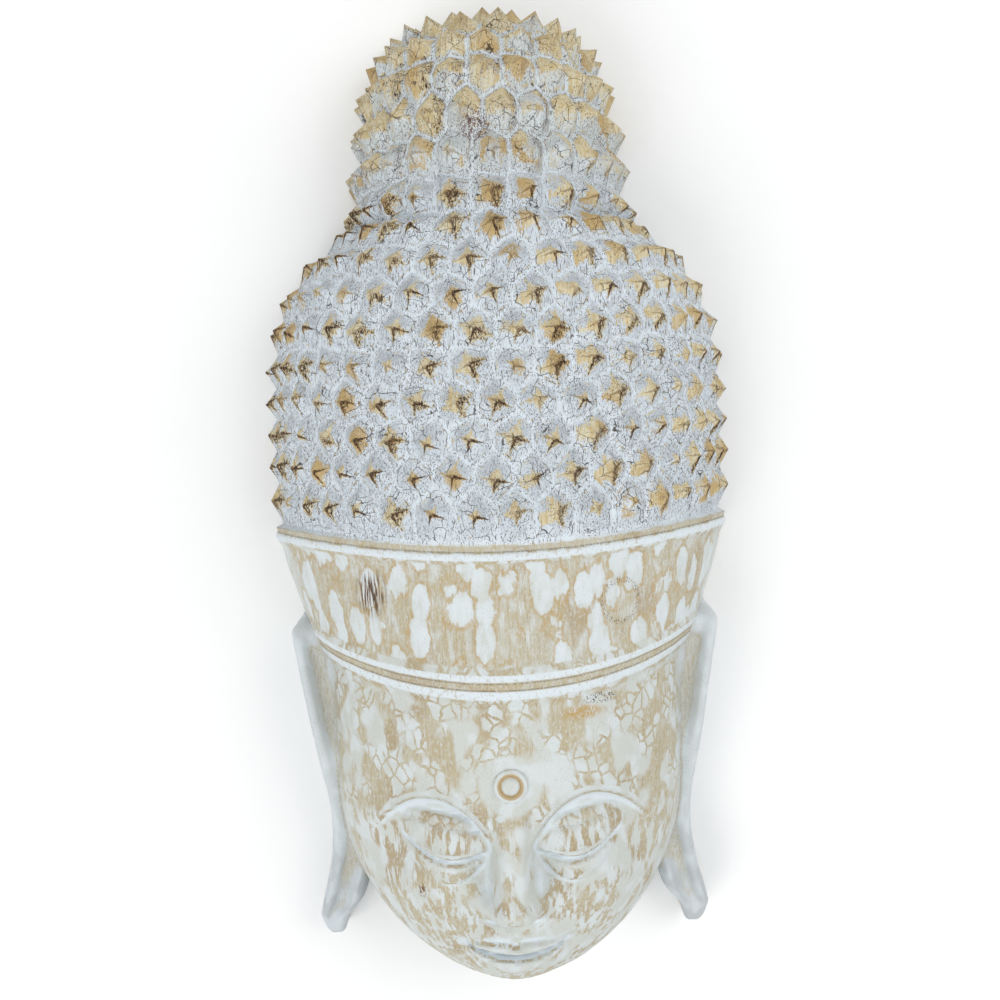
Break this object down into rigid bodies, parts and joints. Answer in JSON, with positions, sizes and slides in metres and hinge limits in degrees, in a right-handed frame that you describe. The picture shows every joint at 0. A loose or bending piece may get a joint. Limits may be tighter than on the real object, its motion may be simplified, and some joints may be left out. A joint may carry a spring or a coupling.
{
  "type": "carved wooden mask",
  "caption": "Carved wooden Buddha mask lying on its back: calm face with closed eyes, forehead band, curled hair, topknot, long ears and a hollowed back.",
  "frame": {"origin": "middle of the bounding box in X and Y, on the flat back at Z = 0", "axes": "+X to the viewer's right when facing the mask, +Y from the chin to the topknot, +Z out of the face"},
  "size_m": [0.241, 0.494, 0.1226],
  "materials": {
    "whitewashed_wood": "matt white wash rubbed back to light bare wood"
  },
  "bodies": {
    "root": {"carved_mask": "whitewashed_wood"}
  },
  "joints": []
}
